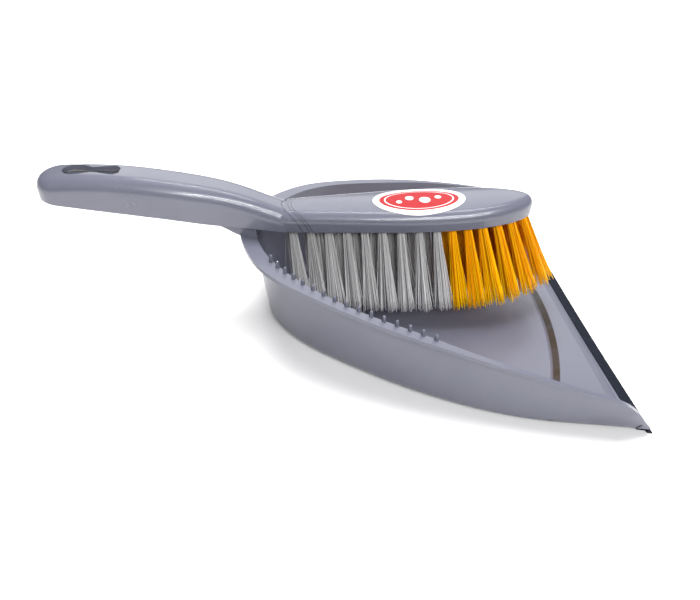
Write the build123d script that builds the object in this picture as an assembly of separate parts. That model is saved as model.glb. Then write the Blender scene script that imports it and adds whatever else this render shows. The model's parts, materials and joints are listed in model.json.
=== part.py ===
from build123d import *
from math import atan, cos, hypot, sin
import os

# Dust pan and hand brush, nested for storage. Millimetres, +Z up, standing on z = 0.
# The model is drawn with x = 0 at the lip's front edge and x falling towards the handles.
# Each part is moved by ORIGIN_SHIFT when it is written, so that the origin lies under the set's middle.
SET_LENGTH = 319.4
ORIGIN_SHIFT = Pos(SET_LENGTH / 2, 0, 0)

# Pan: half outlines from the back's middle to the front, as (x, half width).
WALL = 2.0
FLOOR = 2.0
LOFT_TOP = 70.0
BOTTOM_OUTLINE = [(-196.5, 0), (-180, 35.1), (-150, 59), (-120, 78.2), (-90, 92.8), (-60, 102.3),
                  (-30, 106.3), (15, 114)]
TOP_OUTLINE = [(-205.3, 0), (-183, 50.8), (-150, 75.7), (-120, 86.7), (-90, 97.5), (-60, 106.5),
               (-30, 117.5), (15, 132)]
RIM_OUTLINE = [(-211.3, 0), (-207, 21.6), (-199.7, 36.9), (-180, 57.4), (-150, 75.2), (-120, 87.8),
               (-90, 97.3), (-60, 105), (-30, 111), (-15, 113.5)]
CORNER_OUTER = 7.0
CORNER_INNER = 5.0

# Rim: its height is a gentle parabola in the distance behind RIM_FRONT.
RIM_FRONT = -15.0
RIM_FRONT_Z = 22.2
RIM_RISE = 0.272
RIM_CURVE = -0.000436
RIM_THICKNESS = 2.2
NOSE_START = -27.0
NOSE = [(-19.5, 22.3), (-13.5, 17.5), (-4, 6.2), (1, 1.5)]
RIM_STATIONS = [-209, -180, -150, -110, -70, -40, NOSE_START]
RIM_TAIL = [(-235, 72.5), (-220, 63.8)]

# Floor step, a low ridge that keeps dust in, and the ramp down to the lip.
STEP_RADIUS = 217.7
STEP_APEX = -21.9
STEP_RUN = 4.5
DECK_TOP = 4.6
DECK_UNDER = 2.6
DECK_BACK = -75.0
DECK_SKIN = 1.6
RAMP_TOP = -15.0
RAMP_FOOT_Z = 2.0

# Rubber lip.
LIP_HALF = 110.5
LIP_HOLLOW = 2.1
LIP_WIDTH = 6.6
LIP_BACK_Z = 2.9
LIP_FRONT_Z = 0.8
LIP_SEAT = 1.6
TONGUE_LENGTH = 3.4
TONGUE_Z = (0.75, 1.55)
TONGUE_HALF = 106.5
FOOT_GAP = 2.5
GROOVE = [(-10.9, -1), (-8.6, 7)]
GROOVE_WIDTH = 1.3
GROOVE_DEPTH = 0.8

# Comb pegs along the near side of the rim, which clean the bristles.
PEGS = 16
PEG_START = 34.9
PEG_PITCH = 6.63
PEG_INSET = 1.4
PEG_BASE_R = 1.2
PEG_TIP_R = 0.85
PEG_HEIGHT = 2.9
PEG_SUNK = 0.4

# Brush handle: an arch-shaped shell, open underneath.
HANDLE_TOP = [(-321, 93.6), (-308, 95), (-295, 95.3), (-275, 94.5), (-256, 92.3), (-237, 89.2),
              (-219.5, 85.5), (-207.5, 81.8), (-194.5, 76.6), (-183, 71.8), (-170, 66.5)]
HANDLE_BOTTOM = [(-321, 82.2), (-308, 80.4), (-290, 77.5), (-266, 73.8), (-243, 70), (-225, 66.8), (-212, 65),
                 (-199, 63), (-188, 61.3), (-170, 61.2)]
BELOW_HANDLES = [(HANDLE_TOP[0][0], 40), (HANDLE_TOP[-1][0], 40)]
HANDLE_SIDES = [(-243, 13.1), (-220, 12.4), (-202, 11.5)]
HANDLE_NECK_HALF = 11.1
HANDLE_FRONT = -176.0
HANDLE_HALF = 13.2
HANDLE_ROUND = 8.2
HANDLE_SHELL = 2.3
HANDLE_CEILING = 2.6
CHANNEL_FRONT = -191.0

# Brush head: a solid block pitched slightly nose up.
HEAD_OUTLINE = [(-188, 10.3), (-158, 14.4), (-128, 17.3), (-105, 18.4), (-82, 17.9), (-70, 16.4),
                (-58, 13.2), (-49, 8.8)]
HEAD_TIP = -42.2
HEAD_PITCH = 0.038
HEAD_MIDDLE = -105.0
HEAD_MIDDLE_Z = 63.8
HEAD_THICKNESS = 12.0
HEAD_CROWN_R = 60.0
HEAD_ROUND = 6.0
HEAD_UNDER_ROUND = 0.8

# Hanging hole through both handles, waisted in the middle.
HOLE_X = (-304.0, -273.5)
HOLE_LOBE = 6.0
HOLE_WAIST = 3.2
HOLE_CORNER = 2.4
HOLE_EASE = 0.3

# Pan handle, nested inside the brush handle.
TANG_HALF = 8.4
TANG_SHELL = 2.0
TANG_GAP = 0.6
TANG_ROUND = 6.0
TANG_FRONT = -200.0
TANG_BACK = -314.0
TANG_BOTTOM = [(-321, 83.2), (-316, 82.2), (-290, 78), (-258, 72), (-240, 68.6), (-228, 66), (-220, 63.2),
               (-213, 58.8), (-205, 56.2), (-196, 55.4), (-170, 53)]
TANG_RIBS = [-225, -245, -265]
RIB_THICKNESS = 1.4
FLARE_ROUND = 6.0
NUB_X = (-236, -262)
NUB_R = 2.5
NUB_PROUD = 1.8
NUB_ABOVE_EDGE = 8.0

# Tufts: roots on the head's underside, in steps of TUFT_PITCH from TUFT_START, closer together in front.
TUFT_START = -180.7
TUFT_PITCH = 10.2
FRONT_PITCH = 8.7
EVEN_TUFTS = 9
OUTER_TUFTS = 15
INNER_TUFTS = 11
CENTRE_TUFT = (-55, 0)
FAR_SHIFT = -2.5
ROW_INSET = 4.9
ROW_MIN_Y = 3.1
INNER_ROW = 4.6
HOLE_RADIUS = 2.5
HOLE_DEPTH = 8.0
TUFT_ROOT_R = 2.3
TUFT_TIP_R = 4.4
TUFT_SEAT = 6.0
TUFT_LENGTH = 50.0
OUTER_LEAN = 13.0
INNER_LEAN = 4.0
FORWARD_LEAN = 4.5
TIP_LEAN = 19.0
ANCHOR = (5.6, 0.5, 1.8)

# Label on the crown of the head.
LABEL_PLACE = (-108.3, -1.2)
LABEL_HALF = (26.3, 14.6)
LABEL_THICKNESS = 0.2
LABEL_BELOW = 5.0

BIG = 400.0
SKY = 120.0
BASE = (Align.CENTER, Align.CENTER, Align.MIN)


def inset(points, distance):
    """A half outline moved inwards by distance, square to itself. Its first point is on the middle line."""
    moved = [(points[0][0] + distance, 0)]
    for before, here, after in zip(points, points[1:], points[2:] + points[-1:]):
        dx, dy = after[0] - before[0], after[1] - before[1]
        length = hypot(dx, dy)
        moved.append((here[0] + distance * dy / length, here[1] - distance * dx / length))
    return moved


def open_spline(points):
    """A symmetric curve through a half outline and its mirror image."""
    far = [(x, y) for x, y in reversed(points)]
    near = [(x, -y) for x, y in points[1:]]
    return Spline(*far, *near)


def outline_face(points):
    """A face bounded by the symmetric curve and a straight front."""
    curve = open_spline(points)
    return make_face([curve, Line(curve @ 1, curve @ 0)]).face()


def side_prism(lines, half=BIG / 2):
    """A closed outline in x and z, stretched across the part."""
    face = Plane.XZ * make_face(lines)
    return Pos(0, half, 0) * extrude(face, 2 * half)


def side_polygon(*corners):
    """A straight-sided outline in x and z, stretched across the part."""
    return side_prism([Polyline(*corners, corners[0])])


def rim_z(x):
    """Height of the rim's top face at x."""
    back = RIM_FRONT - x
    return RIM_FRONT_Z + RIM_RISE * back + RIM_CURVE * back * back


def wall_stations(z_of_x, distance):
    """The wall's outer outline at a height that depends on x, moved inwards by distance."""
    at_height = []
    for low, high in zip(BOTTOM_OUTLINE, TOP_OUTLINE):
        share = z_of_x((low[0] + high[0]) / 2) / LOFT_TOP
        at_height.append((low[0] + share * (high[0] - low[0]), low[1] + share * (high[1] - low[1])))
    return inset(at_height, distance)


def flared_block(distance, floor, corner):
    """The space inside the wall's outer face moved inwards by distance, with its bottom edge rounded."""
    low = Pos(0, 0, floor) * outline_face(wall_stations(lambda x: floor, distance))
    high = Pos(0, 0, LOFT_TOP) * outline_face(inset(TOP_OUTLINE, distance))
    block = Solid.make_loft([low.outer_wire(), high.outer_wire()], ruled=True)
    bottom = block.edges().filter_by(lambda e: e.bounding_box().max.Z < floor + 0.01).sort_by(Axis.X)[0]
    return fillet(bottom, corner)


def under_rim():
    """Everything below the rim's curve, which rises into the handle, and behind the nose that closes it."""
    rim = Spline(*RIM_TAIL, *[(x, rim_z(x)) for x in RIM_STATIONS])
    nose = Spline(rim @ 1, *NOSE, tangents=[rim % 1, (1, -1)])
    rest = Polyline(nose @ 1, (NOSE[-1][0], -5), (RIM_TAIL[0][0], -5), rim @ 0)
    return side_prism([rim, nose, rest])


def lip_front(back):
    """Everything in front of the lip's slightly hollow front edge, moved back by a distance."""
    half = 2 * LIP_HALF
    middle = -LIP_HOLLOW - back
    end = middle + 4 * LIP_HOLLOW
    arc = ThreePointArc((end, half), (middle, 0), (end, -half))
    rest = Polyline(arc @ 1, (BIG, -half), (BIG, half), arc @ 0)
    return extrude(make_face([arc, rest]), BIG / 2, both=True)


def step_cone(radius_at_zero, rise):
    """A cone whose side is the ramped riser of the floor step. Its radius grows by STEP_RUN over rise."""
    growth = STEP_RUN / rise
    below = 10.0
    above = 30.0
    low, high = radius_at_zero - below * growth, radius_at_zero + above * growth
    return Pos(STEP_APEX - STEP_RADIUS, 0, -below) * Cone(low, high, below + above, align=BASE)


def deck_block():
    """The raised floor in front of the step, with the ramp down to the lip."""
    ramp = [(RAMP_TOP, DECK_TOP), (-LIP_WIDTH - LIP_HOLLOW, RAMP_FOOT_Z), (5, RAMP_FOOT_Z - 1)]
    block = side_polygon((5, -5), (DECK_BACK, -5), (DECK_BACK, DECK_TOP), *ramp)
    rise = DECK_TOP - FLOOR
    return block - step_cone(STEP_RADIUS - STEP_RUN - FLOOR * STEP_RUN / rise, rise)


def under_deck():
    """The hollow below the raised floor."""
    ramp = [(RAMP_TOP, DECK_UNDER), (-LIP_WIDTH, 0), (-LIP_WIDTH, -5)]
    block = side_polygon((DECK_BACK, -5), (DECK_BACK, DECK_UNDER), *ramp)
    return block - step_cone(STEP_RADIUS - STEP_RUN + DECK_SKIN, DECK_UNDER)


def flange():
    """The flat rim, with concave corners where it runs into the handle."""
    tail = Pos(-212, 0) * Rectangle(10, 2 * TANG_HALF)
    plan = outline_face(RIM_OUTLINE) + tail
    corners = plan.vertices().filter_by(lambda v: -214 < v.X < -206)
    plan = fillet(corners, FLARE_ROUND)
    below = under_rim()
    slab = below - Pos(0, 0, -RIM_THICKNESS) * below
    return slab & extrude(plan, LOFT_TOP)


def peg():
    """A slim stud with a round top."""
    stalk = Cone(PEG_BASE_R, PEG_TIP_R, PEG_HEIGHT, align=BASE)
    return stalk + Pos(0, 0, PEG_HEIGHT) * Sphere(PEG_TIP_R)


def comb_pegs():
    """The row of pegs, evenly spaced along the near wall's top."""
    path = Spline(*[(x, -y) for x, y in wall_stations(rim_z, PEG_INSET)])
    made = []
    for i in range(PEGS):
        spot = path @ ((PEG_START + i * PEG_PITCH) / path.length)
        made.append(Pos(spot.X, spot.Y, rim_z(spot.X) - PEG_SUNK) * peg())
    return made


def arched_plan(sides, back_x, half):
    """A long plan outline: a round back end, side curves through points, and a straight front end."""
    start = (back_x + half, half)
    far_curve = Spline(start, *sides, tangents=[(1, 0), (1, 0)])
    near_curve = Spline((start[0], -half), *[(x, -y) for x, y in sides], tangents=[(1, 0), (1, 0)])
    back = ThreePointArc(start, (back_x, 0), (start[0], -half))
    return make_face([far_curve, near_curve, back, Line(far_curve @ 1, near_curve @ 1)])


def arched_block(plan, lift, bottom):
    """A plan stretched upwards and cut by the handle's arch, lowered by lift, and by a curve below."""
    top = Spline(*[(x, z - lift) for x, z in HANDLE_TOP])
    ends = [Line(bottom @ 0, top @ 0), Line(bottom @ 1, top @ 1)]
    return extrude(plan, SKY) & side_prism([top, bottom, *ends])


def handle_block(shrink, round_radius, lift, front_x):
    """The arched handle's outside, or with shrink above 0 the channel inside it."""
    sides = [(x, y - shrink) for x, y in HANDLE_SIDES] + [(front_x, HANDLE_NECK_HALF - shrink)]
    plan = arched_plan(sides, -SET_LENGTH + shrink, HANDLE_HALF - shrink)
    bottom = Polyline(*BELOW_HANDLES) if shrink else Spline(*HANDLE_BOTTOM)
    block = arched_block(plan, lift, bottom)
    upper = [e for e in block.edges() if is_top_edge(e, lift)]
    return fillet(upper, round_radius)


def is_top_edge(edge, lift):
    """True for the edges where a handle block's arched top meets its sides."""
    middle = edge @ 0.5
    top = height_on(HANDLE_TOP, middle.X) - lift
    return abs(middle.Z - top) < 0.8 and edge.length > 5 and abs(middle.Y) > 1


def height_on(points, x):
    """Height at x on the straight runs between points."""
    for (x0, z0), (x1, z1) in zip(points, points[1:]):
        if x0 <= x <= x1:
            return z0 + (z1 - z0) * (x - x0) / (x1 - x0)
    return points[-1][1]


def hole_face(ease):
    """The hanging hole's plan: two lobes with a waist between them, grown by ease."""
    back, front = HOLE_X[0] - ease, HOLE_X[1] + ease
    lobe, waist = HOLE_LOBE + ease, HOLE_WAIST + ease
    middle = (back + front) / 2
    front_half = lobe - 0.6
    far = [(back + lobe, lobe), (middle, waist), (front - HOLE_CORNER, front_half)]
    near = [(x, -y) for x, y in far]
    tangents = [(1, 0), (1, 0)]
    far_curve = Spline(*far, tangents=tangents)
    near_curve = Spline(*near, tangents=tangents)
    round_end = ThreePointArc(far[0], (back, 0), near[0])
    corner = front_half - HOLE_CORNER
    square_end = Polyline(far[-1], (front, corner), (front, -corner), near[-1])
    return make_face([far_curve, near_curve, round_end, square_end])


def tang_block(shrink, round_radius):
    """The pan handle's outside, or with shrink above 0 the hollow inside it."""
    half = TANG_HALF - shrink
    lift = HANDLE_CEILING + TANG_GAP + shrink
    length = TANG_FRONT - TANG_BACK - 2 * shrink
    plan = Pos((TANG_FRONT + TANG_BACK) / 2, 0) * SlotOverall(length, 2 * half)
    plan += Pos(TANG_FRONT - shrink - half, 0) * Rectangle(2 * half, 2 * half)
    bottom = Polyline(*BELOW_HANDLES) if shrink else Spline(*TANG_BOTTOM)
    block = arched_block(plan, lift, bottom)
    upper = [e for e in block.edges() if is_top_edge(e, lift)]
    return fillet(upper, round_radius)


def pan_handle():
    """An arch-shaped shell with cross ribs, snap nubs and a hanging hole."""
    outside = tang_block(0, TANG_ROUND)
    hollow = tang_block(TANG_SHELL, TANG_ROUND - TANG_SHELL)
    shell = outside - hollow
    for x in TANG_RIBS:
        rib = Pos(x, 0, 70) * Box(RIB_THICKNESS, 2 * TANG_HALF, BIG)
        shell += rib & outside
    for x in NUB_X:
        middle_z = height_on(TANG_BOTTOM, x) + NUB_ABOVE_EDGE
        for side in (-1, 1):
            shell += Pos(x, side * (TANG_HALF + NUB_PROUD - NUB_R), middle_z) * Sphere(NUB_R)
    return shell - extrude(hole_face(HOLE_EASE), SKY)


def between_walls():
    """The space between the walls at floor level, stretched upwards and downwards."""
    return extrude(outline_face(inset(BOTTOM_OUTLINE, LIP_SEAT)), BIG / 2, both=True)


def strip_blank():
    """The rubber lip before the pan's tongue is cut from it."""
    back = -LIP_WIDTH - LIP_HOLLOW - 1
    wedge = side_polygon((back, 0), (back, LIP_BACK_Z), (0, LIP_FRONT_Z), (0, 0))
    wedge = wedge & lip_front(LIP_WIDTH) - lip_front(0)
    tips = flared_block(0, 0, 0.5) & lip_front(FOOT_GAP)
    return wedge & (between_walls() + tips)


def strip_space():
    """What the pan leaves free for the rubber lip, and the open air above it."""
    return (between_walls() & lip_front(LIP_WIDTH)) + strip_blank()


def corner_grooves():
    """A shallow slanted groove at each front corner, where the wall runs out into a foot."""
    (x0, z0), (x1, z1) = GROOVE
    slot = side_polygon((x0, z0), (x1, z1), (x1 + GROOVE_WIDTH, z1), (x0 + GROOVE_WIDTH, z0))
    return slot - flared_block(GROOVE_DEPTH, 0, CORNER_OUTER)


def tongue():
    """The thin edge of the pan that the rubber lip grips."""
    low, high = TONGUE_Z
    back = -LIP_WIDTH - 6
    slab = side_polygon((back, low), (back, high), (5, high), (5, low))
    slab = slab & lip_front(LIP_WIDTH + 1) - lip_front(LIP_WIDTH - TONGUE_LENGTH)
    return slab & Box(BIG, 2 * TONGUE_HALF, BIG)


def pan_body():
    """The dust pan: flared wall, floor, flat rim, handle and comb pegs in one moulding."""
    body = (flared_block(0, 0, CORNER_OUTER) & under_rim()) + flange()
    cavity = flared_block(WALL, FLOOR, CORNER_INNER) - deck_block()
    body = body - cavity - under_deck() - lip_front(FOOT_GAP) - strip_space() + tongue() - corner_grooves()
    body += pan_handle() - cavity
    for one in comb_pegs():
        body += one
    return body


def on_head(u, v=0.0):
    """A plane on the head's underside at x = u, y = v, facing down."""
    slope = atan(HEAD_PITCH)
    height = HEAD_MIDDLE_Z + HEAD_PITCH * (u - HEAD_MIDDLE)
    return Plane((u, v, height), x_dir=(cos(slope), 0, sin(slope)), z_dir=(sin(slope), 0, -cos(slope)))


def head_plan():
    """The head's plan: fullest in the middle, pointed at the front, straight where the handle enters."""
    far = Spline(*[(x, y) for x, y in HEAD_OUTLINE], (HEAD_TIP, 0), tangents=[(1, 0.3), (0, -1)])
    near = Spline(*[(x, -y) for x, y in HEAD_OUTLINE], (HEAD_TIP, 0), tangents=[(1, -0.3), (0, 1)])
    return make_face([far, near, Line(far @ 0, near @ 0)])


def crown_section(thickness):
    """The head's cross-section: flat below, gently crowned above, standing on the middle of the underside."""
    half = 40.0
    drop = half * half / (2 * HEAD_CROWN_R)
    crown = ThreePointArc((-half, thickness - drop), (0, thickness), (half, thickness - drop))
    return make_face([crown, Polyline(crown @ 1, (half, 0), (-half, 0), crown @ 0)])


def crowned_bar(thickness):
    """The crowned section stretched along the pitched head."""
    slope = atan(HEAD_PITCH)
    along = Vector(cos(slope), 0, sin(slope))
    start = Vector(HEAD_MIDDLE, 0, HEAD_MIDDLE_Z) - along * BIG / 2
    return extrude(Plane(start, x_dir=(0, 1, 0), z_dir=along) * crown_section(thickness), BIG)


def above_underside(edge):
    """How far the middle of an edge is above the head's flat underside."""
    middle = edge @ 0.5
    return middle.Z - on_head(middle.X).origin.Z


def head_block():
    """The head with its top edge well rounded and its lower edge just broken."""
    block = extrude(head_plan(), SKY) & crowned_bar(HEAD_THICKNESS)
    upper = [e for e in block.edges() if above_underside(e) > 2 and e.length > 20]
    block = fillet(upper, HEAD_ROUND)
    lower = [e for e in block.edges() if abs(above_underside(e)) < 0.2 and e.length > 20]
    return fillet(lower, HEAD_UNDER_ROUND)


def tuft_roots():
    """Every tuft as (name, x, y, lean across, lean forward)."""
    roots = []
    outline = [*HEAD_OUTLINE, (HEAD_TIP, 0)]
    for i in range(OUTER_TUFTS):
        x = TUFT_START + min(i, EVEN_TUFTS - 1) * TUFT_PITCH + max(0, i - EVEN_TUFTS + 1) * FRONT_PITCH
        y = max(height_on(outline, x) - ROW_INSET, ROW_MIN_Y)
        across = OUTER_LEAN * min(1.0, y / 12)
        forward = forward_lean(x)
        roots.append((f"tuft_near_{i + 1:02d}", x, -y, -across, forward))
        roots.append((f"tuft_far_{i + 1:02d}", x + FAR_SHIFT, y, across, forward))
    for i in range(INNER_TUFTS):
        x = TUFT_START + (i + 1.5) * TUFT_PITCH
        forward = forward_lean(x)
        roots.append((f"tuft_inner_near_{i + 1:02d}", x, -INNER_ROW, -INNER_LEAN, forward))
        roots.append((f"tuft_inner_far_{i + 1:02d}", x + FAR_SHIFT, INNER_ROW, INNER_LEAN, forward))
    roots.append(("tuft_centre", *CENTRE_TUFT, 0, forward_lean(CENTRE_TUFT[0])))
    return roots


def forward_lean(x):
    """All tufts lean a little forwards, and fan out more towards the tip."""
    to_tip = max(0.0, (x + 130) / 83)
    return FORWARD_LEAN + TIP_LEAN * to_tip ** 2


def tuft_plane(root):
    """A plane at a tuft's mouth, facing along the tuft towards its tips."""
    x, y, across, forward = root[1:]
    return on_head(x, y).rotated((across, -forward, 0))


def tuft_hole(root):
    """The blind hole that a tuft is punched into, run a little past the head's face."""
    past = 4.0
    return tuft_plane(root) * Pos(0, 0, (past - HOLE_DEPTH) / 2) * Cylinder(HOLE_RADIUS, HOLE_DEPTH + past)


def tuft(root):
    """A bundle of bristles as one slim cone, from its seat in the head to its cut tips."""
    growth = (TUFT_TIP_R - TUFT_ROOT_R) / TUFT_LENGTH
    seat_radius = TUFT_ROOT_R - TUFT_SEAT * growth
    cone = Cone(seat_radius, TUFT_TIP_R, TUFT_SEAT + TUFT_LENGTH, align=BASE)
    return tuft_plane(root) * Pos(0, 0, -TUFT_SEAT) * cone


def anchor(root):
    """The flat staple that a folded tuft hangs on. Its ends bite into the hole's wall."""
    depth = TUFT_SEAT + ANCHOR[2] / 2 + 0.05
    return tuft_plane(root) * Pos(0, 0, -depth) * Box(*ANCHOR)


def brush_body(roots):
    """The brush: hollow arched handle and solid head in one moulding, with its tuft holes."""
    handle = handle_block(0, HANDLE_ROUND, 0, HANDLE_FRONT)
    channel = handle_block(HANDLE_SHELL, HANDLE_ROUND - HANDLE_SHELL, HANDLE_CEILING, CHANNEL_FRONT)
    body = handle - channel + head_block()
    body -= extrude(hole_face(0), SKY)
    return body - [tuft_hole(root) for root in roots]


def label():
    """A thin oval sticker that follows the head's crown and the start of its rounded edge."""
    head = head_block()
    film = Pos(0, 0, LABEL_THICKNESS) * head - head
    return film & Pos(*LABEL_PLACE, HEAD_MIDDLE_Z + LABEL_BELOW) * extrude(Ellipse(*LABEL_HALF), 30)


def write(name, shape):
    """Save one part as parts/NAME.step, in the set's own frame."""
    export_step(ORIGIN_SHIFT * shape, f"parts/{name}.step")


os.makedirs("parts", exist_ok=True)
tufts = tuft_roots()
write("pan_body", pan_body())
write("lip_strip", strip_blank() - tongue())
write("brush_body", brush_body(tufts))
write("label", label())
write("tuft_anchors", Compound([anchor(root) for root in tufts]))
for one_root in tufts:
    write(one_root[0], tuft(one_root))
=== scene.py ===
"""Looks of the dust pan and brush set: real filaments, plastic, rubber, sticker, floor, light and camera."""
import json
import math
import random

import bpy
import numpy as np
from mathutils import Matrix, Vector


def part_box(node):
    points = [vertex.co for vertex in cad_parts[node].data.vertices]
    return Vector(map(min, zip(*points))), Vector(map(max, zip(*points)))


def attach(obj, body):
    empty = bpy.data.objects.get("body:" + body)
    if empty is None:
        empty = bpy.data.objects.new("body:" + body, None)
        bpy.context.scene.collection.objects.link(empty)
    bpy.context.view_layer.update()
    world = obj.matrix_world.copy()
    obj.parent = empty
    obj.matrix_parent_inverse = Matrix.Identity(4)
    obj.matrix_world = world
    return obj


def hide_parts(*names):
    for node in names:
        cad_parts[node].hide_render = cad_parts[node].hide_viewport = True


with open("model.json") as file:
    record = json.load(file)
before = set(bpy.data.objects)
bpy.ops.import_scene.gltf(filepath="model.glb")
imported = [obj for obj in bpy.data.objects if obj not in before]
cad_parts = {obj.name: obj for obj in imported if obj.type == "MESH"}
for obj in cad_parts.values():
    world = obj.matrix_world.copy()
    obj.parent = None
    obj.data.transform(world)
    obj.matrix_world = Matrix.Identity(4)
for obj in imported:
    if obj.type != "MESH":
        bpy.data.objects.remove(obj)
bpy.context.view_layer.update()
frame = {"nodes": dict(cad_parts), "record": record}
MM = 0.001

# Camera: where the viewer's eye is in the row frame, and how it is turned.
CAMERA_PLACE = Vector((-0.0115, -0.2925, 0.2271))
CAMERA_DOWN = math.radians(37.62)
CAMERA_YAW = math.radians(-1.84)
CAMERA_ROLL = math.radians(0.24)
CAMERA_LENS = 29.34
CAMERA_SHIFT = (0.0366, 0.0036)

# Filaments.
FILAMENT_RADIUS = 0.20 * MM
FILAMENT_SIDES = 5
FILAMENT_RINGS = 9
OUTER_FILAMENTS = 80
INNER_FILAMENTS = 66
ROOT_SPREAD = 1.9 * MM
TIP_SPREAD = 5.8 * MM
CUT_UNEVEN = 1.3 * MM
STRAY_SHARE = 0.04
STRAY_REACH = (1.3, 1.7)
USUAL_REACH = (0.85, 1.08)
ROOT_START = 0.045


# ---------------------------------------------------------------- node helpers

def material(name):
    """A new material and its node tree, with a Principled shader named shader."""
    made = bpy.data.materials.new(name)
    made.use_nodes = True
    tree = made.node_tree
    shader = tree.nodes["Principled BSDF"]
    return made, tree, shader


def add(tree, kind, **settings):
    """A new node. A setting is either one of the node's own options or the value of an input socket."""
    node = tree.nodes.new("ShaderNode" + kind)
    for key, value in settings.items():
        if hasattr(node, key):
            setattr(node, key, value)
        else:
            node.inputs[key.replace("_", " ")].default_value = value
    return node


def place(tree):
    """Position in the row frame, in metres."""
    return add(tree, "TexCoord").outputs["Object"]


def math_node(tree, operation, first, second=None):
    """One Math node, fed by sockets or numbers."""
    node = add(tree, "Math", operation=operation)
    for socket, value in zip(node.inputs, (first, second)):
        if isinstance(value, bpy.types.NodeSocket):
            tree.links.new(value, socket)
        elif value is not None:
            socket.default_value = value
    return node.outputs[0]


def times(tree, first, second):
    """first times second."""
    return math_node(tree, "MULTIPLY", first, second)


def plus(tree, first, second):
    """first plus second."""
    return math_node(tree, "ADD", first, second)


def minus(tree, first, second):
    """first less second."""
    return math_node(tree, "SUBTRACT", first, second)


def reach(tree, first, second):
    """The length of a step of first one way and second square to it."""
    squares = plus(tree, math_node(tree, "POWER", first, 2.0), math_node(tree, "POWER", second, 2.0))
    return math_node(tree, "SQRT", squares)


def off_from(tree, value, middle):
    """How far value is from middle, either way."""
    return math_node(tree, "ABSOLUTE", minus(tree, value, middle))


def split_xyz(tree, vector):
    """The three parts of a vector."""
    node = add(tree, "SeparateXYZ")
    tree.links.new(vector, node.inputs[0])
    return node.outputs


def step(tree, value, low, high, start=0.0, end=1.0):
    """Smooth change from start to end as value goes from low to high."""
    node = add(tree, "MapRange", interpolation_type="SMOOTHSTEP")
    tree.links.new(value, node.inputs["Value"])
    node.inputs["From Min"].default_value = low
    node.inputs["From Max"].default_value = high
    node.inputs["To Min"].default_value = start
    node.inputs["To Max"].default_value = end
    return node.outputs["Result"]


def noise(tree, vector, scale, detail=2.0, roughness=0.5, distortion=0.0, stretch=(1, 1, 1)):
    """Noise that varies around 0.5, with its space stretched."""
    mapping = add(tree, "Mapping")
    mapping.inputs["Scale"].default_value = stretch
    tree.links.new(vector, mapping.inputs["Vector"])
    node = add(tree, "TexNoise", Scale=scale, Detail=detail, Roughness=roughness, Distortion=distortion)
    tree.links.new(mapping.outputs[0], node.inputs["Vector"])
    return node.outputs[0]


def mix(tree, share, first, second):
    """A colour between first and second. Each may be a socket or a colour."""
    node = add(tree, "Mix", data_type="RGBA")
    for socket, value in ((node.inputs[0], share), (node.inputs[6], first), (node.inputs[7], second)):
        if isinstance(value, bpy.types.NodeSocket):
            tree.links.new(value, socket)
        elif isinstance(value, (int, float)):
            socket.default_value = value
        else:
            socket.default_value = (*value, 1.0)
    return node.outputs[2]


def bump(tree, shader, height, distance):
    """Fine relief on a shader, distance metres deep."""
    node = add(tree, "Bump", Strength=1.0, Distance=distance)
    tree.links.new(height, node.inputs["Height"])
    tree.links.new(node.outputs[0], shader.inputs["Normal"])


# ---------------------------------------------------------------- materials

PLASTIC = (0.128, 0.131, 0.168)
PLASTIC_DEEP = (0.117, 0.120, 0.157)

# The sticker's bubbles: place and radius as shares of its half length and half width.
BUBBLES = [(-0.44, -0.16, 0.06), (-0.20, 0.10, 0.09), (0.12, -0.08, 0.12), (0.42, 0.10, 0.07)]

# The pan's floor step is a ring around this middle. Its painted reflection and shade, a dark olive band
# standing for the shaded yellow bristles mirrored in the step, lies below this range of heights.
STEP_MIDDLE_X = -0.0799
STEP_RING = (0.2145, 0.2181)
PAINTED_REFLECTION_TOP = (0.0048, 0.0056)

# Knit lines at the brush's neck: places along it, and how much each bows and leans.
KNIT_LINES = (0.0098, 0.0132, 0.0150)
KNIT_BOW = -38.0
KNIT_LEAN = 0.5


def plastic_base(name, roughness, coat):
    """Moulded grey-lilac plastic: faint mottling, uneven roughness and a thin glossy skin. Each caller adds
    its own orange peel.
    """
    made, tree, shader = material(name)
    at = place(tree)
    mottle = noise(tree, at, 28.0, 3.0)
    colour = mix(tree, step(tree, mottle, 0.3, 0.7), PLASTIC_DEEP, PLASTIC)
    rough = step(tree, noise(tree, at, 60.0, 4.0), 0.25, 0.75, roughness - 0.015, roughness + 0.015)
    tree.links.new(rough, shader.inputs["Roughness"])
    shader.inputs["Coat Weight"].default_value = coat
    shader.inputs["Coat Roughness"].default_value = 0.05
    shader.inputs["IOR"].default_value = 1.49
    return made, tree, shader, at, colour


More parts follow.
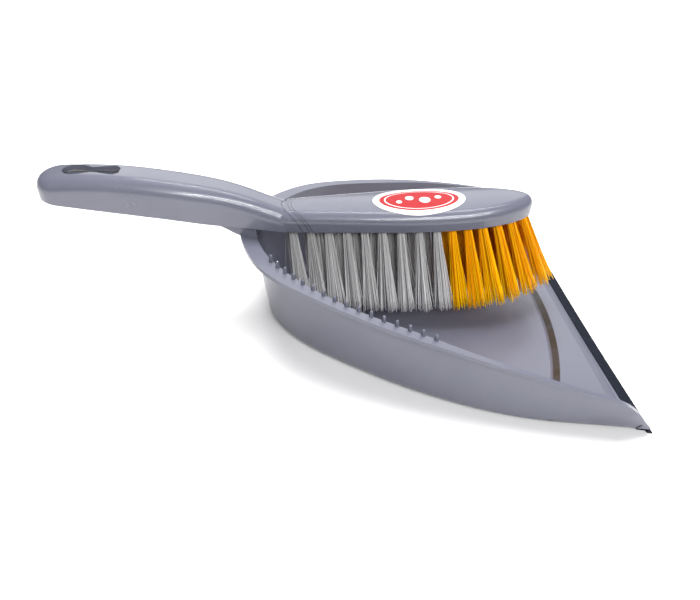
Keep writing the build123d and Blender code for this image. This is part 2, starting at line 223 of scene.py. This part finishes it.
def pan_plastic():
    """The pan's plastic, with handling scuffs and specks on its floor, and a painted reflection and shade at
    the foot of the step: a dark olive band for the shaded yellow bristles mirrored there.
    """
    made, tree, shader, at, colour = plastic_base("pan_plastic_look", 0.32, 0.12)
    x, y, z = split_xyz(tree, at)
    scuff = step(tree, noise(tree, at, 150.0, 6.0, 0.7, stretch=(1, 7, 1)), 0.60, 0.78)
    colour = mix(tree, times(tree, scuff, 0.10), colour, (0.42, 0.42, 0.46))
    speck = step(tree, noise(tree, at, 520.0, 1.0), 0.78, 0.80)
    colour = mix(tree, times(tree, speck, 0.4), colour, (0.03, 0.03, 0.035))
    # Painted reflection and shade: a dark olive band at the foot of the floor step stands for the shaded
    # yellow bristles mirrored there.
    radius = reach(tree, minus(tree, x, STEP_MIDDLE_X), y)
    low, high = STEP_RING
    inner_edge = step(tree, radius, low - 0.0006, low + 0.0003)
    outer_edge = step(tree, radius, high - 0.0008, high, 1.0, 0.0)
    ring = times(tree, inner_edge, outer_edge)
    ring = times(tree, ring, step(tree, z, *PAINTED_REFLECTION_TOP, 1.0, 0.0))
    painted_step_reflection = times(tree, ring, step(tree, noise(tree, at, 120.0, 4.0), 0.2, 0.7, 0.7, 0.95))
    colour = mix(tree, painted_step_reflection, colour, (0.028, 0.024, 0.017))
    tree.links.new(colour, shader.inputs["Base Color"])
    bump(tree, shader, noise(tree, at, 700.0, 2.0), 0.00002)
    return made


def brush_plastic():
    """The brush's plastic, with flow swirls behind the label and thin knit lines at the neck."""
    made, tree, shader, at, colour = plastic_base("brush_plastic_look", 0.26, 0.38)
    x, y, z = split_xyz(tree, at)
    flow = noise(tree, at, 38.0, 1.0, 0.4, 2.2, (1, 1.5, 1))
    contour = off_from(tree, flow, 0.5)
    behind_label = times(tree, step(tree, x, -0.034, -0.018), step(tree, x, 0.020, 0.050, 1.0, 0.0))
    share = times(tree, step(tree, contour, 0.004, 0.03, 0.22, 0.0), behind_label)
    colour = mix(tree, share, colour, (0.085, 0.085, 0.105))
    bow = times(tree, math_node(tree, "POWER", y, 2.0), KNIT_BOW)
    along = plus(tree, plus(tree, x, bow), times(tree, z, KNIT_LEAN))
    for knit in KNIT_LINES:
        near = off_from(tree, along, knit)
        colour = mix(tree, step(tree, near, 0.00015, 0.0005, 0.65, 0.0), colour, (0.028, 0.028, 0.036))
    tree.links.new(colour, shader.inputs["Base Color"])
    bump(tree, shader, noise(tree, at, 500.0, 2.0), 0.000008)
    return made


def rubber():
    """Matt near-black rubber with fine dust in its grain."""
    made, tree, shader = material("lip_rubber_look")
    at = place(tree)
    grain = noise(tree, at, 900.0, 4.0, 0.6)
    dust = step(tree, noise(tree, at, 90.0, 5.0, 0.65), 0.5, 0.8)
    colour = mix(tree, dust, (0.008, 0.010, 0.017), (0.020, 0.023, 0.034))
    tree.links.new(colour, shader.inputs["Base Color"])
    tree.links.new(step(tree, grain, 0.2, 0.8, 0.62, 0.8), shader.inputs["Roughness"])
    shader.inputs["Specular IOR Level"].default_value = 0.2
    bump(tree, shader, grain, 0.00008)
    return made


def steel():
    """Bright drawn wire."""
    made, tree, shader = material("anchor_steel_look")
    streak = noise(tree, place(tree), 800.0, 3.0, stretch=(1, 1, 0.1))
    colour = mix(tree, streak, (0.55, 0.55, 0.56), (0.72, 0.72, 0.72))
    tree.links.new(colour, shader.inputs["Base Color"])
    tree.links.new(step(tree, streak, 0.2, 0.8, 0.25, 0.4), shader.inputs["Roughness"])
    shader.inputs["Metallic"].default_value = 1.0
    return made


def label_artwork():
    """A plain sticker: white edge, red oval, a thin white ring inside it and four plain bubbles."""
    made, tree, shader = material("label_artwork_look")
    low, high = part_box("label")
    middle = (low + high) / 2
    half = (high - low) / 2
    x, y, _ = split_xyz(tree, place(tree))
    u = math_node(tree, "DIVIDE", minus(tree, x, middle.x), half.x)
    v = math_node(tree, "DIVIDE", minus(tree, y, middle.y), half.y)

    def oval(centre_u, centre_v, radius_u, radius_v):
        """1 on an oval's edge, less inside it. Sizes are shares of the sticker's half sizes."""
        across = math_node(tree, "DIVIDE", minus(tree, u, centre_u), radius_u)
        along = math_node(tree, "DIVIDE", minus(tree, v, centre_v), radius_v)
        return reach(tree, across, along)

    white, red = (0.82, 0.82, 0.81), (0.35, 0.018, 0.022)
    field = oval(0.0, 0.0, 0.86, 0.76)
    colour = mix(tree, step(tree, field, 0.985, 1.015), red, white)
    ring = off_from(tree, field, 0.86)
    colour = mix(tree, step(tree, ring, 0.012, 0.022), white, colour)
    for centre_u, centre_v, size in BUBBLES:
        bubble = oval(centre_u, centre_v, size, size * half.x / half.y)
        colour = mix(tree, step(tree, bubble, 0.95, 1.05), white, colour)
    print_edge = off_from(tree, field, 1.0)
    colour = mix(tree, step(tree, print_edge, 0.0, 0.02, 0.35, 0.0), colour, (0.25, 0.12, 0.12))
    tree.links.new(colour, shader.inputs["Base Color"])
    paper = noise(tree, place(tree), 300.0)
    tree.links.new(step(tree, paper, 0.2, 0.8, 0.45, 0.52), shader.inputs["Roughness"])
    shader.inputs["Specular IOR Level"].default_value = 0.25
    return made


def filament_look(name, pale, deep, gloss):
    """Drawn plastic filament. Each filament has its own tone, kept in the mesh, with painted shade that makes
    it deeper at the root, where the packed filaments shade one another.
    """
    made, tree, shader = material(name)
    tone = add(tree, "Attribute", attribute_name="tone").outputs["Fac"]
    streak = noise(tree, place(tree), 1800.0, 2.0, stretch=(1, 1, 0.05))
    share = plus(tree, times(tree, tone, 0.75), times(tree, streak, 0.25))
    tree.links.new(mix(tree, share, deep, pale), shader.inputs["Base Color"])
    shader.inputs["Specular IOR Level"].default_value = 0.15
    tree.links.new(step(tree, streak, 0.2, 0.8, gloss - 0.05, gloss + 0.08), shader.inputs["Roughness"])
    return made


# ---------------------------------------------------------------- bristles

def cone_axis(node):
    """A tuft's seat and cut end: the middles of its CAD cone's two end circles."""
    points = np.array([v.co for v in frame["nodes"][node].data.vertices], float)
    middle = points.mean(0)
    direction = np.linalg.svd(points - middle, full_matrices=False)[2][0]
    direction *= -np.sign(direction[2])
    along = (points - middle) @ direction
    return Vector(middle + direction * along.min()), Vector(middle + direction * along.max())


def filament_path(draw, seat, tip, root_radius, tip_radius):
    """The middle line of one filament: packed at the root, fanned towards the tip, and faintly wavy."""
    axis = (tip - seat).normalized()
    forward = (Vector((1, 0, 0)) - axis * axis.x).normalized()
    across = axis.cross(forward)
    angle = draw.uniform(0, math.tau)
    spread = math.sqrt(draw.uniform(0, 1))
    stray = draw.random() < STRAY_SHARE
    tip_reach = tip_radius * spread * draw.uniform(*(STRAY_REACH if stray else USUAL_REACH))
    turn = angle + draw.uniform(-0.25, 0.25)
    length = (tip - seat).length + draw.gauss(0, 0.45) * CUT_UNEVEN
    wave = draw.uniform(0.05, 0.28) * MM
    wave_turn = draw.uniform(0, math.tau)
    waves = draw.uniform(0.6, 1.6)
    path = []
    for i in range(FILAMENT_RINGS):
        t = ROOT_START + (1 - ROOT_START) * i / (FILAMENT_RINGS - 1)
        fan = 0.7 * t + 0.3 * t * t
        out = root_radius * spread * (1 - fan)
        u = out * math.cos(angle) + tip_reach * fan * math.cos(turn)
        v = out * math.sin(angle) + tip_reach * fan * math.sin(turn)
        sway = wave * t * math.sin(math.tau * waves * t + wave_turn)
        u += sway * math.cos(wave_turn)
        v += sway * math.sin(wave_turn)
        path.append(seat + axis * length * t + forward * u + across * v)
    return path


def add_tube(path, radius, verts, faces):
    """A closed tube with a flat cut end, along a nearly straight path."""
    axis = (path[-1] - path[0]).normalized()
    side = axis.orthogonal().normalized()
    other = axis.cross(side)
    first = len(verts)
    for point in path:
        for k in range(FILAMENT_SIDES):
            angle = math.tau * k / FILAMENT_SIDES
            verts.append(point + side * radius * math.cos(angle) + other * radius * math.sin(angle))
    for ring in range(len(path) - 1):
        for k in range(FILAMENT_SIDES):
            a = first + ring * FILAMENT_SIDES + k
            b = first + ring * FILAMENT_SIDES + (k + 1) % FILAMENT_SIDES
            faces.append((a, b, b + FILAMENT_SIDES, a + FILAMENT_SIDES))
    last = first + (len(path) - 1) * FILAMENT_SIDES
    faces.append(tuple(range(first + FILAMENT_SIDES - 1, first - 1, -1)))
    faces.append(tuple(range(last, last + FILAMENT_SIDES)))


def bristles(node, look, draw):
    """One tuft of separate filaments in place of its CAD cone."""
    seat, tip = cone_axis(node)
    inner = "inner" in node
    verts, faces, tones_with_root_shade = [], [], []
    for _ in range(INNER_FILAMENTS if inner else OUTER_FILAMENTS):
        path = filament_path(draw, seat, tip, ROOT_SPREAD, TIP_SPREAD)
        add_tube(path, FILAMENT_RADIUS * draw.uniform(0.9, 1.1), verts, faces)
        tone = draw.random()
        for ring in range(FILAMENT_RINGS):
            # Painted shade: the tone falls towards the root, pulling the colour to the deep end where the
            # packed filaments shade one another.
            tones_with_root_shade += [tone * (0.35 + 0.65 * ring / (FILAMENT_RINGS - 1))] * FILAMENT_SIDES
    mesh = bpy.data.meshes.new(node + "_filaments")
    mesh.from_pydata(verts, [], faces)
    mesh.attributes.new("tone", "FLOAT", "POINT").data.foreach_set("value", tones_with_root_shade)
    mesh.polygons.foreach_set("use_smooth", [len(face) == 4 for face in faces])
    mesh.materials.append(look)
    piece = bpy.data.objects.new(node + "_filaments", mesh)
    bpy.context.scene.collection.objects.link(piece)
    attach(piece, "brush")
    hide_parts(node)


def assign(node, look):
    """Give a CAD node one material."""
    mesh = frame["nodes"][node].data
    mesh.materials.clear()
    mesh.materials.append(look)


# ---------------------------------------------------------------- surroundings

FLOOR_HALF = 4.0


def floor():
    """A large, plain, nearly white table top."""
    half = FLOOR_HALF
    mesh = bpy.data.meshes.new("floor")
    corners = [(-half, -half, 0), (half, -half, 0), (half, half, 0), (-half, half, 0)]
    mesh.from_pydata(corners, [], [(0, 1, 2, 3)])
    made, tree, shader = material("floor_look")
    soft = noise(tree, place(tree), 3.0)
    tree.links.new(mix(tree, soft, (0.88, 0.87, 0.86), (0.91, 0.91, 0.91)), shader.inputs["Base Color"])
    shader.inputs["Roughness"].default_value = 0.9
    shader.inputs["Specular IOR Level"].default_value = 0.1
    mesh.materials.append(made)
    plane = bpy.data.objects.new("floor", mesh)
    bpy.context.scene.collection.objects.link(plane)


def area_light(name, at, towards, size, power, glossy=True, diffuse=True):
    """A rectangular light aimed at a point, with its long side along x, for one or both kinds of shading."""
    lamp = bpy.data.lights.new(name, "AREA")
    lamp.shape = "RECTANGLE"
    lamp.size, lamp.size_y = size
    lamp.energy = power
    light = bpy.data.objects.new(name, lamp)
    light.location = at
    light.rotation_euler = (Vector(towards) - Vector(at)).to_track_quat("-Z", "Y").to_euler()
    light.visible_glossy = glossy
    light.visible_diffuse = diffuse
    bpy.context.scene.collection.objects.link(light)


def surroundings():
    """A dim room, a key light above, a back panel, a front fill, and tubes that draw the streaks."""
    world = bpy.data.worlds.new("room")
    world.use_nodes = True
    background = world.node_tree.nodes["Background"]
    background.inputs["Color"].default_value = (0.93, 0.95, 1.0, 1)
    background.inputs["Strength"].default_value = 0.14
    bpy.context.scene.world = world
    area_light("key", (0.08, 0.45, 1.9), (0.03, 0.0, 0.0), (1.3, 1.1), 66.0, glossy=False)
    area_light("back_panel", (0.35, 2.2, 1.5), (0.0, 0.0, 0.1), (3.0, 1.6), 24.0)
    area_light("front_fill", (0.45, -1.5, 1.35), (0.0, 0.0, 0.05), (1.3, 0.9), 39.0, glossy=False)
    area_light("front_tube_high", (0.45, -0.98, 1.35), (-0.03, 0.0, 0.08), (1.1, 0.015), 13.0, diffuse=False)
    area_light("front_tube_low", (0.35, -1.28, 1.05), (-0.03, 0.0, 0.08), (1.1, 0.015), 10.0, diffuse=False)
    area_light("top_tube", (0.25, 0.62, 1.65), (0.05, 0.0, 0.07), (1.2, 0.03), 6.0, diffuse=False)
    bpy.context.scene.view_settings.view_transform = "Standard"


def camera():
    """The viewer's eye, turned down, aside and a little over."""
    data = bpy.data.cameras.new("camera")
    data.lens = CAMERA_LENS
    data.sensor_width = 36.0
    data.shift_x, data.shift_y = CAMERA_SHIFT
    data.clip_start = 0.01
    eye = bpy.data.objects.new("camera", data)
    turn = Matrix.Rotation(CAMERA_YAW, 4, "Z")
    turn = turn @ Matrix.Rotation(math.pi / 2 - CAMERA_DOWN, 4, "X")
    turn = turn @ Matrix.Rotation(CAMERA_ROLL, 4, "Z")
    eye.matrix_world = Matrix.Translation(CAMERA_PLACE) @ turn
    bpy.context.scene.collection.objects.link(eye)
    bpy.context.scene.camera = eye


# ---------------------------------------------------------------- the set

camera()
assign("pan_body", pan_plastic())
assign("brush_body", brush_plastic())
assign("lip_strip", rubber())
assign("tuft_anchors", steel())
assign("label", label_artwork())
# Each look's second colour is both the deep end of the filaments' random tones and the painted root shade.
# The yellow's deep orange stands for shade and bounce light among its roots.
LOOKS = {
    "grey_bristle": filament_look("grey_filament_look", (1.0, 1.0, 1.0), (0.28, 0.27, 0.27), 0.32),
    "yellow_bristle": filament_look("yellow_filament_look", (1.0, 0.76, 0.0), (1.0, 0.31, 0.0), 0.38),
}
for number, part in enumerate(frame["record"]["subparts"]):
    if part["material_slot"] in LOOKS:
        bristles(part["node"], LOOKS[part["material_slot"]], random.Random(number))
floor()
surroundings()
